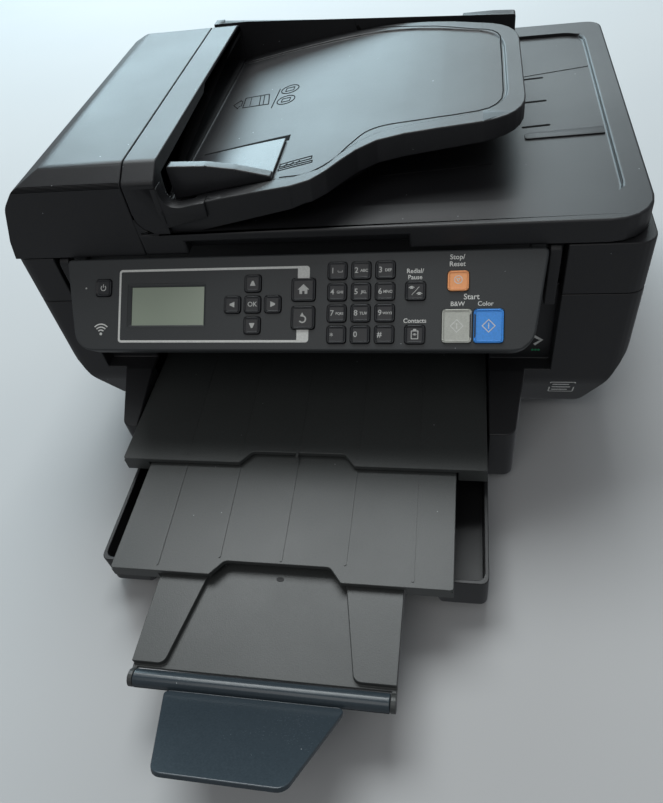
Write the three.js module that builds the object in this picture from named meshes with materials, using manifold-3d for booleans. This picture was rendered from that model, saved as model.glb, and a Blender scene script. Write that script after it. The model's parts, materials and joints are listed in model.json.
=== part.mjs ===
// All-in-one inkjet printer: lower case with a front paper cassette and a telescoping
// output tray, a tilting control panel, a flatbed scanner and a lid with a document feeder.
// Millimetres, +X right, +Y back, +Z up. It is built with the front face of the case at
// y = 0 and the table at z = 0, and moved at the end so that the origin is under the middle.
import * as THREE from 'three';
import { mergeVertices } from 'three/addons/utils/BufferGeometryUtils.js';
import Module from 'manifold-3d';

const wasm = await Module();
wasm.setup();

// ---- Driving dimensions -------------------------------------------------------------

// Clearances and walls.
const wall = 2.6; // moulded shells
const gap = 0.3; // between pieces that touch
const seam = 0.6; // shut line between mouldings
const slide = 1.3; // beside a sliding tray
const pinPlay = 0.4; // round a hinge pin

// Lower case.
const caseDepth = 302;
const footHeight = 4;
const caseTop = 129;
const sideLeft = 44; // case beside the control panel
const sideRight = 62.5;
const recessDepth = 12; // front recess that takes the lowered panel
const recessFloor = 62;
const exitTop = 108; // top of the paper exit
const armLength = 52;
const armDrop = 12; // the arms' tops slope down to the front by this much
const leftArm = { front: 11.6, root: 23.5 };
const rightArm = { front: 17.4, root: 25 };

// Scanner and lid.
const scannerHeight = 37.3;
const lidThickness = 16;
const glassLength = 346;
const glassDepth = 236;
const glassThickness = 2.5;
const matThickness = 2.4;
const glassFront = 28;

// Document feeder.
const feederHeight = 44.5; // above the lid
const feederDepth = 252;
const coverWidth = 102; // hinged cover over the rollers
const stripWidth = 22; // fixed frame beside the cover
const feederTrayReach = 224; // from the frame's strip to the tray's right end
const guideHeight = 23;
const guideLength = 66;
const rollerRadius = 9;

// Control panel.
const panelWidth = 318.5;
const panelFace = 62.5;
const panelThickness = 13;
const panelTilt = 50; // degrees from upright
const keyDepth = 3; // thickness of a key
const keyStand = 1.2; // key top above the panel's face
const keyGap = 0.4; // round a key
const keyTravel = 1;

// Paper path.
const paperWidth = 216;
const paperCentre = -12; // the paper runs left of the case's middle
const trayLevel = 52.4; // top of the output tray
const trayStep = 4.95; // each tray slides this far under the one before
const trayPlate = 3.3;
const outputReach = 84.5; // front of the output tray, before the case
const extensionReach = 84.3;
const endReach = 57.8;
const endShift = 2; // the end tray sits a little to the right
const cassetteReach = 156;
const cassetteLength = 340;
const cassetteHeight = 26.6;
const stopLength = 64;
const stopAngle = 34; // degrees above level when it is raised
const stopThickness = 3;
const rodRadius = 5.3;

// Print engine and the duplex unit behind.
const railRadius = 5;
const duplexerDepth = 46;
const duplexerWidth = paperWidth - 26;

// ---- Levels and edges worked out from them ---------------------------------------------

const caseWidth = sideLeft + panelWidth + sideRight;
const caseLeft = -caseWidth / 2;
const caseRight = caseWidth / 2;
const caseBottom = footHeight + gap;
const scannerBottom = caseTop + seam;
const scannerTop = scannerBottom + scannerHeight;
const lidBottom = scannerTop + seam;
const lidTop = lidBottom + lidThickness;
const feederBottom = lidTop + gap;
const feederTop = lidTop + feederHeight;
const panelLeft = caseLeft + sideLeft;
const panelRight = caseRight - sideRight;
const recessLeft = panelLeft - 12.5;
const recessRight = panelRight + 11;
const coverLeft = caseLeft + 2.7;
const coverRight = coverLeft + coverWidth - 3;
const stripLeft = coverRight + seam;
const stripRight = stripLeft + stripWidth;
const outputWidth = paperWidth + 42.5;
const bayLeft = paperCentre - outputWidth / 2 - slide; // opening for the trays
const bayRight = paperCentre + outputWidth / 2 + slide;
const arcSteps = 5;
const rad = THREE.MathUtils.degToRad;

// ---- Shapes ------------------------------------------------------------------------------

const vector = (x, y, z) => new THREE.Vector3(x, y, z);
const axes = { x: vector(1, 0, 0), y: vector(0, 1, 0), z: vector(0, 0, 1) };

// A closed outline through corners [u, v, radius]; a corner with no radius stays sharp.
function outline(corners) {
  const points = [];
  corners.forEach(([u, v, radius = 0], i) => {
    const corner = new THREE.Vector2(u, v);
    if (radius === 0) {
      points.push(corner);
      return;
    }
    const towards = (other) => new THREE.Vector2(other[0], other[1]).sub(corner).normalize();
    const before = towards(corners.at(i - 1));
    const after = towards(corners[(i + 1) % corners.length]);
    const half = Math.acos(before.dot(after)) / 2;
    const centre = before.clone().add(after).normalize();
    centre.multiplyScalar(radius / Math.sin(half)).add(corner);
    const start = corner.clone().addScaledVector(before, radius / Math.tan(half)).sub(centre);
    const end = corner.clone().addScaledVector(after, radius / Math.tan(half)).sub(centre);
    const sweep = Math.atan2(start.cross(end), start.dot(end));
    for (let k = 0; k <= arcSteps; k += 1) {
      const turned = start.clone().rotateAround(new THREE.Vector2(), (sweep * k) / arcSteps);
      points.push(turned.add(centre));
    }
  });
  return points;
}

const rectangle = (u0, u1, v0, v1, radius = 0) =>
  outline([[u0, v0, radius], [u1, v0, radius], [u1, v1, radius], [u0, v1, radius]]);

function toSolid(geometry) {
  geometry.deleteAttribute('normal');
  geometry.deleteAttribute('uv');
  const merged = mergeVertices(geometry, 1e-4);
  return new wasm.Manifold(new wasm.Mesh({
    numProp: 3,
    vertProperties: new Float32Array(merged.attributes.position.array),
    triVerts: new Uint32Array(merged.index.array),
  }));
}

// An outline swept from one value to another along an axis. Its points are (x, y) along z,
// (y, z) along x and (x, z) along y.
function prism(axis, points, from, to) {
  const shape = new THREE.Shape(points);
  const geometry = new THREE.ExtrudeGeometry(shape, { depth: to - from, bevelEnabled: false });
  const turn = new THREE.Matrix4();
  if (axis === 'x') turn.makeBasis(axes.y, axes.z, axes.x);
  if (axis === 'y') turn.makeBasis(axes.x, axes.z, vector(0, -1, 0));
  geometry.applyMatrix4(turn);
  geometry.translate(...axes[axis].clone().multiplyScalar(axis === 'y' ? to : from).toArray());
  return toSolid(geometry);
}

function block(x0, x1, y0, y1, z0, z1) {
  const geometry = new THREE.BoxGeometry(x1 - x0, y1 - y0, z1 - z0);
  geometry.translate((x0 + x1) / 2, (y0 + y1) / 2, (z0 + z1) / 2);
  return toSolid(geometry);
}

// A round bar along an axis; (a, b) is its centre in the plane across that axis.
function rod(axis, a, b, radius, from, to, sides = 16) {
  const ring = Array.from({ length: sides }, (_, k) => {
    const angle = (2 * Math.PI * k) / sides;
    return new THREE.Vector2(a + radius * Math.cos(angle), b + radius * Math.sin(angle));
  });
  return prism(axis, ring, from, to);
}

const join = (first, ...others) => others.reduce((sum, other) => sum.add(other), first);
const cut = (first, ...tools) => tools.reduce((left, tool) => left.subtract(tool), first);
const common = (first, ...others) => others.reduce((kept, other) => kept.intersect(other), first);

const plastic = (color, roughness = 0.6) =>
  new THREE.MeshStandardMaterial({ color, roughness, metalness: 0 });
const blackPlastic = plastic(0x1b1c1e);
const innerPlastic = plastic(0x121314, 0.75);
const panelPlastic = plastic(0x2b2e31, 0.7);
const trayPlastic = plastic(0x343a3a, 0.65);
const glossPlastic = plastic(0x1a212b, 0.25);
const rubber = plastic(0x0d0d0d, 0.9);
const keyPlastic = plastic(0x1f2124, 0.55);
const steel = new THREE.MeshStandardMaterial({ color: 0xa8abad, roughness: 0.3, metalness: 1 });
const glass = plastic(0xb8c4c0, 0.08);
const foam = plastic(0xe6e6e2, 0.9);

const printer = new THREE.Group();

function piece(name, material, solid, parent = printer) {
  const { vertProperties, triVerts } = solid.getMesh();
  const geometry = new THREE.BufferGeometry();
  geometry.setAttribute('position', new THREE.BufferAttribute(vertProperties, 3));
  geometry.setIndex(new THREE.BufferAttribute(triVerts, 1));
  geometry.computeVertexNormals();
  const mesh = new THREE.Mesh(geometry, material);
  mesh.name = name;
  parent.add(mesh);
}

// ---- Lower case ----------------------------------------------------------------------------

// The case's outer body, grown inwards by a wall thickness; its sides and front curl under.
function caseBody(inset, top) {
  const left = caseLeft + inset;
  const right = caseRight - inset;
  const bottom = caseBottom + inset;
  const back = caseDepth - inset;
  const plan = prism('z', outline([
    [left, inset, 12], [right, inset, 12], [right, back, 8], [left, back, 8],
  ]), bottom, top);
  const sides = prism('y', outline([
    [left, top], [left, bottom + 74, 50], [left + 24, bottom + 14, 16],
    [left + 44, bottom, 20], [right - 44, bottom, 20], [right - 24, bottom + 14, 16],
    [right, bottom + 74, 50], [right, top],
  ]), inset, back);
  const front = prism('x', outline([
    [inset, top], [inset, bottom + 46, 30], [inset + 14, bottom + 10, 14],
    [inset + 34, bottom, 20], [back, bottom, 8], [back, top],
  ]), left, right);
  return common(plan, sides, front);
}

// One half of the case: the shell, the recess for the panel, an ear with the panel's hinge
// pin and the arm that runs forward beside the trays. hand is -1 on the left, 1 on the right.
function caseHalf(hand, pivot) {
  const outer = hand < 0 ? caseLeft : caseRight;
  const bay = hand < 0 ? bayLeft : bayRight;
  const recess = hand < 0 ? recessLeft : recessRight;
  const span = (a, b) => [Math.min(a, b), Math.max(a, b)];
  const body = caseBody(0, caseTop);
  const shell = cut(body, caseBody(wall, caseTop + 1));
  const lining = common(body, block(
    ...span(recess + hand * wall, bay), 0, recessDepth + wall, recessFloor - wall, caseTop));
  const side = common(join(shell, lining), block(
    ...span(outer, bay), 0, caseDepth, caseBottom, caseTop));
  const hollow = block(
    ...span(recess, bay - hand), -1, recessDepth, recessFloor, caseTop + 1);
  const { front, root } = hand < 0 ? leftArm : rightArm;
  const armShape = (inset, back) => common(
    prism('z', outline([
      [bay + hand * inset, back], [bay + hand * inset, inset - armLength],
      [bay + hand * (front - inset), inset - armLength, Math.min(7, 1.1 * (front - 2 * inset))],
      [bay + hand * (root - inset), 1], [bay + hand * (root - inset), back],
    ]), caseBottom, recessFloor),
    prism('x', [
      [-armLength, caseBottom], [back, caseBottom], [back, recessFloor - inset],
      [-2, recessFloor - inset], [-armLength, recessFloor - armDrop - inset],
    ].map(([y, z]) => new THREE.Vector2(y, z)), ...span(bay, bay + hand * root)),
  );
  const arm = armShape(0, 2);
  const armHollow = join(armShape(wall, 40), armShape(wall, 40).translate(0, 0, -1));
  const ear = prism('x', outline([
    [-1, recessFloor + 60], [recessDepth + wall, recessFloor + 60],
    [recessDepth + wall, scannerTop - 0.5, 3], [-1, scannerTop - 0.5, 5],
  ]), ...span(recess - hand * 3.5, recess - hand * 10.5));
  const pin = rod('x', pivot.y, pivot.z, 2, ...span(recess - hand * 10, recess - hand * 18));
  const mountedArm = cut(arm, armHollow);
  return join(cut(side, hollow), mountedArm, ear, pin);
}

function addCase(pivot) {
  piece('left_case', blackPlastic, caseHalf(-1, pivot));
  piece('right_case', blackPlastic, caseHalf(1, pivot));

  // The floor pan runs forward between the arms, under the cassette.
  const floor = prism('z', outline([
    [bayLeft + gap, 4 - armLength, 6], [bayRight - gap, 4 - armLength, 6],
    [bayRight - gap, caseDepth - wall - gap], [bayLeft + gap, caseDepth - wall - gap],
  ]), caseBottom, caseBottom + 1.8);
  piece('base_pan', innerPlastic, floor);

  // Cross beam and deck behind the panel, over the paper exit.
  const beam = block(bayLeft + gap, bayRight - gap, recessDepth, recessDepth + 8,
    exitTop, caseTop);
  const deck = block(bayLeft + gap, bayRight - gap, recessDepth, 60, caseTop - wall, caseTop);
  piece('front_fascia', innerPlastic, join(beam, deck));

  // Back panel with the duplex unit's opening, the mains inlet and a data socket.
  const back = block(bayLeft + gap, bayRight - gap, caseDepth - wall, caseDepth,
    caseBottom, caseTop);
  const opening = block(duplexLeft - gap, duplexRight + gap, caseDepth - 20, caseDepth + 1,
    duplexBottom - gap, duplexTop + gap);
  const inletBox = block(duplexRight + 14, duplexRight + 42, caseDepth - 14, caseDepth - 1,
    26, 46);
  const inlet = block(duplexRight + 16, duplexRight + 40, caseDepth - 12, caseDepth + 1, 28, 44);
  const socketBox = block(duplexRight + 18, duplexRight + 34, caseDepth - 14, caseDepth - 1,
    62, 77);
  const socket = block(duplexRight + 20, duplexRight + 32, caseDepth - 12, caseDepth + 1,
    64, 75);
  piece('rear_case', blackPlastic, cut(join(back, inletBox, socketBox), opening, inlet, socket));

  const feet = [
    ['foot_front_left', caseLeft + 58, 40], ['foot_front_right', caseRight - 62, 40],
    ['foot_back_left', caseLeft + 58, caseDepth - 30],
    ['foot_back_right', caseRight - 62, caseDepth - 30],
  ];
  feet.forEach(([name, x, y]) => piece(name, rubber, rod('z', x, y, 9, 0, footHeight)));
}

// ---- Duplex unit, pulled off backwards ---------------------------------------------------

const duplexLeft = paperCentre - 30 - duplexerWidth / 2;
const duplexRight = duplexLeft + duplexerWidth;
const duplexBottom = 40;
const duplexTop = 120;

function addDuplexer() {
  const back = caseDepth + 6;
  const front = back - duplexerDepth;
  const outer = prism('x', outline([
    [front, duplexBottom, 6], [back, duplexBottom, 8], [back, duplexTop, 14],
    [front, duplexTop, 6],
  ]), duplexLeft, duplexRight);
  const core = prism('x', outline([
    [front - 1, duplexBottom + wall], [back - wall, duplexBottom + wall, 6],
    [back - wall, duplexTop - wall, 11], [front - 1, duplexTop - wall],
  ]), duplexLeft + wall, duplexRight - wall);
  piece('rear_duplexer', blackPlastic, cut(outer, core));
}

// ---- Print engine ---------------------------------------------------------------------------

function addEngine() {
  const railY = 120;
  const railZ = 104;
  const reach = caseWidth / 2 - wall - 4;
  piece('carriage_rail', steel, rod('x', railY, railZ, railRadius, -reach, reach));

  // The ink carriage is parked at the right; it is an open tray with four cartridges.
  const width = 70;
  const right = reach - 10;
  const left = right - width;
  const shell = join(
    block(left, right, railY - 52, railY - 8, 72, 96),
    block(left, right, railY - 10, railY + 12, railZ - 12, railZ + 12),
  );
  const tray = block(left + 2, right - 2, railY - 50, railY - 10, 76, 100);
  const bore = rod('x', railY, railZ, railRadius + pinPlay, left - 1, right + 1);
  piece('print_carriage', innerPlastic, cut(shell, tray, bore));
  const pitch = (width - 4) / 4;
  ['black', 'cyan', 'magenta', 'yellow'].forEach((ink, i) => {
    const x = left + 2 + pitch * i + gap;
    const body = prism('x', outline([
      [railY - 49, 76.5, 1], [railY - 12, 76.5, 1], [railY - 12, 118, 3], [railY - 30, 118, 3],
      [railY - 34, 112, 2], [railY - 49, 112, 3],
    ]), x, x + pitch - 2 * gap);
    piece(`ink_cartridge_${ink}`, blackPlastic, body);
  });

  // Feed shaft with four rubber rolls, turned as one profile about its axis.
  const profile = [new THREE.Vector2(0, bayLeft + 4), new THREE.Vector2(4, bayLeft + 4)];
  for (let i = 0; i < 4; i += 1) {
    const roll = paperCentre + (i - 1.5) * (paperWidth / 4.4) - 12;
    profile.push(new THREE.Vector2(4, roll), new THREE.Vector2(9, roll),
      new THREE.Vector2(9, roll + 24), new THREE.Vector2(4, roll + 24));
  }
  profile.push(new THREE.Vector2(4, bayRight - 4), new THREE.Vector2(0, bayRight - 4));
  const shaft = new THREE.LatheGeometry(profile, 16);
  shaft.rotateZ(-Math.PI / 2);
  shaft.translate(0, 170, 78);
  piece('feed_roller', rubber, toSolid(shaft));
}

// ---- Scanner unit -----------------------------------------------------------------------------

function addScanner() {
  const plan = outline([
    [caseLeft, 0, 12], [caseRight, 0, 12], [caseRight, caseDepth, 8], [caseLeft, caseDepth, 8],
  ]);
  const body = prism('z', plan, scannerBottom, scannerTop);
  const notch = block(recessLeft, recessRight, -1, recessDepth + 4,
    scannerBottom - 1, scannerTop + 1);
  const glassLeft = paperCentre - 2 - glassLength / 2;
  const seat = scannerTop - 2.2 - glassThickness - matThickness / 2;
  const opening = block(glassLeft - 1, glassLeft + glassLength + 1, glassFront - 1,
    glassFront + glassDepth + 1, seat, scannerTop + 1);
  const well = block(glassLeft + 8, glassLeft + glassLength - 8, glassFront + 8,
    glassFront + glassDepth - 8, scannerBottom + wall, seat + 1);
  piece('scanner_base', blackPlastic, cut(body, notch, opening, well));
  piece('scanner_glass', glass, block(glassLeft, glassLeft + glassLength, glassFront,
    glassFront + glassDepth, seat + gap, seat + gap + glassThickness));
  piece('scan_bar', innerPlastic, block(glassLeft + 10, glassLeft + 34, glassFront + 12,
    glassFront + glassDepth - 12, scannerBottom + wall + 2, seat - 3));

  // The white mat hangs under the lid, just above the glass.
  piece('document_mat', foam, block(glassLeft + 2, glassLeft + glassLength - 2, glassFront + 2,
    glassFront + glassDepth - 2, lidBottom - gap - matThickness, lidBottom - gap));
}

// ---- Lid ------------------------------------------------------------------------------------------

// The lid rises in a cheek that fills the rounded lower corner of the feeder's strip.
const cheekSize = 14;
const cheekDepth = 11;
const cheekRound = (radius) => rod('y', stripLeft + cheekSize, feederBottom + cheekSize, radius,
  -2, cheekDepth + 2, 48);

function addLid() {
  const left = caseLeft + 3;
  const right = caseRight - 3;
  const back = caseDepth;
  const plan = outline([
    [left, 0, 6], [right, 0, 26], [right, back, 12], [left, back, 12],
  ]);
  const body = prism('z', plan, lidBottom, lidTop);
  const underCover = block(left - 1, coverRight, -1, feederDepth + 7, lidBottom + 4, lidTop + 1);
  const coverSkirt = block(left - 1, left + 9, -1, feederDepth + 7, lidBottom - 1, lidTop + 1);
  const coverEnds = [[-1, 4], [feederDepth - 4, feederDepth + 7]].map(([from, to]) =>
    block(left - 1, coverRight, from, to, lidBottom - 1, lidTop + 1));
  const outputWell = prism('z', rectangle(coverRight + stripWidth + 2, right - 16, 25,
    feederDepth + 28, 16), lidTop - 2.4, lidTop + 1);
  const grip = block(paperCentre - 68, paperCentre + 78, -1, 9, lidBottom - 1, lidBottom + 9.5);
  const cheek = cut(block(stripLeft, stripLeft + cheekSize, 0.4, cheekDepth, lidTop - 1,
    feederBottom + cheekSize), cheekRound(cheekSize));
  piece('document_cover', blackPlastic,
    join(cut(body, underCover, coverSkirt, ...coverEnds, outputWell, grip), cheek));
}

// ---- Document feeder ----------------------------------------------------------------------------

// The feeder's hump seen from the front and from the side, drawn in by an inset.
function hump(inset, left, right, bottom) {
  const top = feederTop - inset;
  const face = prism('y', outline([
    [left, bottom], [left + 2.8, lidBottom + 14, 20], [left + 12.3, top - 21, 20],
    [left + 23, top - 9.5, 12], [left + 42, top, 24], [right, top], [right, bottom],
  ]), inset, feederDepth - inset);
  const side = prism('x', outline([
    [inset, bottom], [inset, top - 8.5, 4], [inset + 14, top, 8],
    [feederDepth - 16 - inset, top, 10], [feederDepth - 4 - inset, top - 12, 10],
    [feederDepth - inset, bottom],
  ]), left, right);
  return common(face, side);
}

const shaftRadius = 3;
const rollerX = coverRight - 28;
const rollerZ = feederTop - 21;
const rollerFrom = 12;
const rollerLength = feederDepth - 2 * rollerFrom;

function addFeederCover() {
  const outer = hump(0, coverLeft, coverRight, lidBottom);
  const core = hump(wall, coverLeft + wall, coverRight + 5, lidBottom - 1);
  piece('feeder_cover', blackPlastic, cut(outer, core));

  const shaft = [
    [0, 0], [shaftRadius, 0], [shaftRadius, 70], [rollerRadius, 70], [rollerRadius, 160],
    [shaftRadius, 160], [shaftRadius, rollerLength], [0, rollerLength],
  ].map(([r, along]) => new THREE.Vector2(r, along));
  const roller = new THREE.LatheGeometry(shaft, 16);
  roller.translate(rollerX, rollerFrom, rollerZ);
  piece('feeder_roller', rubber, toSolid(roller));
}

// The feeder tray's surface rises to the right and levels out.
const trayStart = feederBottom + 15.5;
const trayCrest = feederBottom + 36;
const trayDip = 1.2; // the paper's bed below the rim
function trayCurve(drop) {
  const curve = new THREE.CubicBezierCurve(
    new THREE.Vector2(stripRight - 1, trayStart - drop),
    new THREE.Vector2(stripRight + 68, trayStart + 12 - drop),
    new THREE.Vector2(stripRight + 128, trayCrest - drop),
    new THREE.Vector2(stripRight + feederTrayReach + 1, trayCrest - drop),
  );
  return curve.getPoints(10);
}

// The tray seen from above: wide at the rollers, narrow at its right end.
function trayPlan(inset) {
  const right = stripRight + feederTrayReach - inset;
  const front = 3 + inset;
  const back = feederDepth - 12 - inset;
  const shape = new THREE.Shape();
  shape.moveTo(stripRight - 2, front);
  shape.lineTo(stripRight + 84, front);
  shape.bezierCurveTo(stripRight + 112, front + 1, stripRight + 110, front + 43,
    stripRight + 150, front + 46);
  shape.lineTo(right - 26, front + 52);
  shape.quadraticCurveTo(right, front + 58, right, front + 84);
  shape.lineTo(right, back - 62);
  shape.quadraticCurveTo(right, back - 32, right - 26, back - 24);
  shape.bezierCurveTo(right - 70, back - 2, stripRight + 120, back, stripRight + 90, back);
  shape.lineTo(stripRight - 2, back);
  return shape.getPoints(6);
}

function addFeederFrame() {
  const bandTop = prism('y', [
    ...trayCurve(0),
    new THREE.Vector2(stripRight + feederTrayReach + 1, trayCrest - 12),
    new THREE.Vector2(stripRight + 90, trayStart - 1),
    new THREE.Vector2(stripRight + 20, feederBottom),
    new THREE.Vector2(stripRight - 1, feederBottom),
  ], 0, feederDepth);
  const rim = common(prism('z', trayPlan(0), feederBottom, feederTop), bandTop);
  const below = common(prism('z', trayPlan(wall), feederBottom - 1, feederTop), prism('y', [
    ...trayCurve(4),
    new THREE.Vector2(stripRight + feederTrayReach + 1, feederBottom - 1),
    new THREE.Vector2(stripRight - 1, feederBottom - 1),
  ], 0, feederDepth));
  const above = common(prism('z', trayPlan(11), feederBottom, feederTop), prism('y', [
    ...trayCurve(trayDip),
    new THREE.Vector2(stripRight + feederTrayReach + 1, feederTop),
    new THREE.Vector2(stripRight - 1, feederTop),
  ], 0, feederDepth));

  const strip = common(hump(0, coverLeft, stripRight, feederBottom), block(
    stripLeft, stripRight, 0, feederDepth, feederBottom, feederTop));
  const throat = block(stripLeft - 1, stripRight + 1, 14, feederDepth - 14, trayStart + 1,
    feederTop - 9);
  const outlet = block(stripLeft - 1, stripRight + 1, 14, feederDepth - 14, feederBottom - 1,
    feederBottom + 9);

  const cheekSpace = cut(block(stripLeft - 1, stripLeft + cheekSize, -1, cheekDepth + gap,
    feederBottom - 1, feederBottom + cheekSize), cheekRound(cheekSize - gap));

  // The strip's front corner sweeps down into the rim in a hollow curve.
  const sweep = 9;
  const sweepTop = trayStart + 1.5 + sweep;
  const curve = Array.from({ length: 9 }, (_, k) => {
    const angle = Math.PI * (1 + k / 16);
    return new THREE.Vector2(stripRight + sweep * (1 + Math.cos(angle)),
      sweepTop + sweep * Math.sin(angle));
  });
  const gusset = prism('y', [
    new THREE.Vector2(stripRight - 1, trayStart - 6), new THREE.Vector2(stripRight - 1, sweepTop),
    ...curve, new THREE.Vector2(stripRight + sweep, trayStart - 6),
  ], 0.4, 13);

  // Two ears inside the cover hold the pick roller's shaft.
  const ears = [[10, 14], [feederDepth - 14, feederDepth - 10]].map(([from, to]) => block(
    rollerX - 5, stripLeft + 2, from, to, rollerZ - 5, rollerZ + 5));
  const shaftRoom = rod('y', rollerX, rollerZ, shaftRadius + pinPlay, rollerFrom - gap,
    rollerFrom + rollerLength + gap);

  const rearTop = outline([
    [stripLeft, feederBottom], [stripLeft, feederTop], [stripRight + 6, feederTop, 20],
    [stripRight + feederTrayReach, feederTop - 13, 2],
    [stripRight + feederTrayReach, feederBottom],
  ]);
  const rearWall = prism('y', rearTop, feederDepth - 12 + gap, feederDepth - 2);
  const foot = block(stripRight - 1, stripRight + 60, 3, 3 + wall, feederBottom,
    feederBottom + 10);
  piece('feeder_frame', blackPlastic,
    cut(
    join(cut(rim, below, above), cut(strip, throat, outlet, cheekSpace), common(foot, rim),
      rearWall, gusset, ...ears), shaftRoom));
}

function addFeederGuide() {
  const left = stripRight + 4;
  const right = left + guideLength;
  const front = 15;
  const floor = trayCurve(trayDip - gap);
  const height = (x) => {
    const next = floor.findIndex((point) => point.x > x);
    const [a, b] = [floor[next - 1], floor[next]];
    return THREE.MathUtils.mapLinear(x, a.x, b.x, a.y, b.y);
  };
  const underside = [left, ...floor.map((point) => point.x).filter((x) => x > left && x < right),
    right].map((x) => [x, height(x)]);
  const crest = height(left) + guideHeight;
  const plate = prism('y', outline([
    ...underside, [right, height(right) + 3], [left + 44, crest - 4, 18],
    [left + 26, crest - 1, 8], [left, crest, 2],
  ]), front, front + 7);
  const footThickness = 1.6;
  const foot = prism('y', outline([
    ...underside, ...underside.map(([x, z]) => [x, z + footThickness]).reverse(),
  ]), front + 6, front + 52);
  piece('feeder_guide', blackPlastic, join(plate, foot));
}

// ---- Control panel and its keys -------------------------------------------------------------------

// Panel frame: x across, z up the face from its top edge, y into the panel.
const panelGroup = new THREE.Group();
panelGroup.position.set(0, -2.9, lidBottom + 0.5);
panelGroup.rotation.x = -rad(panelTilt);
printer.add(panelGroup);
panelGroup.updateMatrixWorld(true);
const pivotLocal = vector(0, 9, 4);
const panelPivot = pivotLocal.clone().applyMatrix4(panelGroup.matrixWorld);

// Every key: name, middle from the panel's left or right edge, middle below the top edge,
// width and height. The columns and rows share their pitches.
const padPitchX = 15.2;
const padPitchZ = 13.5;
const padKey = [12.3, 11.2];
const cursorPitch = 13.6;
const cursorKey = 11.2;
const cursorX = panelLeft + 134;
const cursorZ = 32.5;
const menuX = panelLeft + 167.8;
const padX = panelRight - 128.9;
const padZ = 11.8;
const keys = [
  ['key_power', panelLeft + 28.5, 20, 11.5, 11.5],
  ['key_up', cursorX, cursorZ - cursorPitch, cursorKey, cursorKey],
  ['key_left', cursorX - cursorPitch, cursorZ, cursorKey, cursorKey],
  ['key_ok', cursorX, cursorZ, cursorKey, cursorKey],
  ['key_right', cursorX + cursorPitch, cursorZ, cursorKey, cursorKey],
  ['key_down', cursorX, cursorZ + cursorPitch, cursorKey, cursorKey],
  ['key_home', menuX, 23.4, 15.5, 14.8],
  ['key_back', menuX, 41.4, 15.5, 14.8],
  ...['1', '2', '3', '4', '5', '6', '7', '8', '9', 'star', '0', 'hash'].map((label, i) => [
    `key_${label}`, padX + (i % 3) * padPitchX, padZ + Math.floor(i / 3) * padPitchZ, ...padKey,
  ]),
  ['key_redial', panelRight - 79.6, padZ + padPitchZ, 12.5, 11.8],
  ['key_contacts', panelRight - 79.6, padZ + 3 * padPitchZ, 12.5, 11.8],
  ['key_stop', panelRight - 53.7, 19.4, 12.8, 12.4],
  ['key_start_mono', panelRight - 54.2, 47.2, 17.8, 20.7],
  ['key_start_colour', panelRight - 35.2, 47.2, 17.8, 20.7],
];

function keyOutline(x, down, width, height, grow) {
  return rectangle(x - width / 2 - grow, x + width / 2 + grow, -down - height / 2 - grow,
    -down + height / 2 + grow, 2 + grow);
}

function addPanel() {
  const face = outline([
    [panelLeft, 0, 3], [panelLeft + 9, -panelFace, 14], [panelRight - 9, -panelFace, 14],
    [panelRight, 0, 3],
  ]);
  const body = prism('y', face, 0, panelThickness);
  const lugs = [[panelLeft + 1, panelLeft + 11], [panelRight - 11, panelRight - 1]].map(
    ([from, to]) => join(
      rod('x', pivotLocal.y, pivotLocal.z, 3.4, from, to),
      block(from, to, pivotLocal.y - 2, pivotLocal.y + 3, -4, pivotLocal.z),
    ));
  const bores = [[panelLeft - 1, panelLeft + 7], [panelRight - 7, panelRight + 1]].map(
    ([from, to]) => rod('x', pivotLocal.y, pivotLocal.z, 2 + pinPlay, from, to));
  const well = keyDepth - keyStand + keyTravel + keyGap;
  const wells = keys.map(([, ...size]) => prism('y', keyOutline(...size, keyGap), -1, well));
  const window = [panelLeft + 46, panelLeft + 101.8];
  const windowWell = prism('y', rectangle(...window, -47.4, -17.6, 1), -1, 2.4);
  piece('control_panel', panelPlastic,
    cut(join(body, ...lugs), ...bores, ...wells, windowWell), panelGroup);
  piece('lcd_window', glass, prism('y', rectangle(window[0] + 3, window[1] - 1.4, -46, -20),
    1, 2.4 - gap), panelGroup);
  keys.forEach(([name, ...size]) => {
    piece(name, keyPlastic, prism('y', keyOutline(...size, 0), -keyStand, keyDepth - keyStand),
      panelGroup);
  });
}

// ---- Output tray, its two extensions and the paper stop ----------------------------------------

const extensionWidth = outputWidth - 40;
const endWidth = extensionWidth - 62.4;
const extensionLevel = trayLevel - trayStep;
const endLevel = extensionLevel - trayStep;

// A tray plate with a finger notch in its front edge and a rail under each side.
function slidingTray(width, level, front, back, notch, rail, railDepth, shift = 0) {
  const left = paperCentre - width / 2;
  const right = paperCentre + width / 2;
  const half = notch / 2;
  const plate = prism('z', outline([
    [left, front, 2], [paperCentre - half, front, 2], [paperCentre - half + 8, front + 10, 5],
    [paperCentre + half - 8, front + 10, 5], [paperCentre + half, front, 2], [right, front, 2],
    [right, back], [left, back],
  ]), level - trayPlate, level);
  const rails = [[left, left + rail + shift], [right - rail + shift, right]].map(([x0, x1]) =>
    block(x0, x1, front, back, level - railDepth, level - trayPlate + 1));
  return join(plate, ...rails);
}

const outputFront = -outputReach;
const extensionFront = outputFront - extensionReach;
const endFront = extensionFront - endReach;
const rodY = endFront - rodRadius - 0.6;
const rodZ = endLevel - rodRadius - 0.1;

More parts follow.
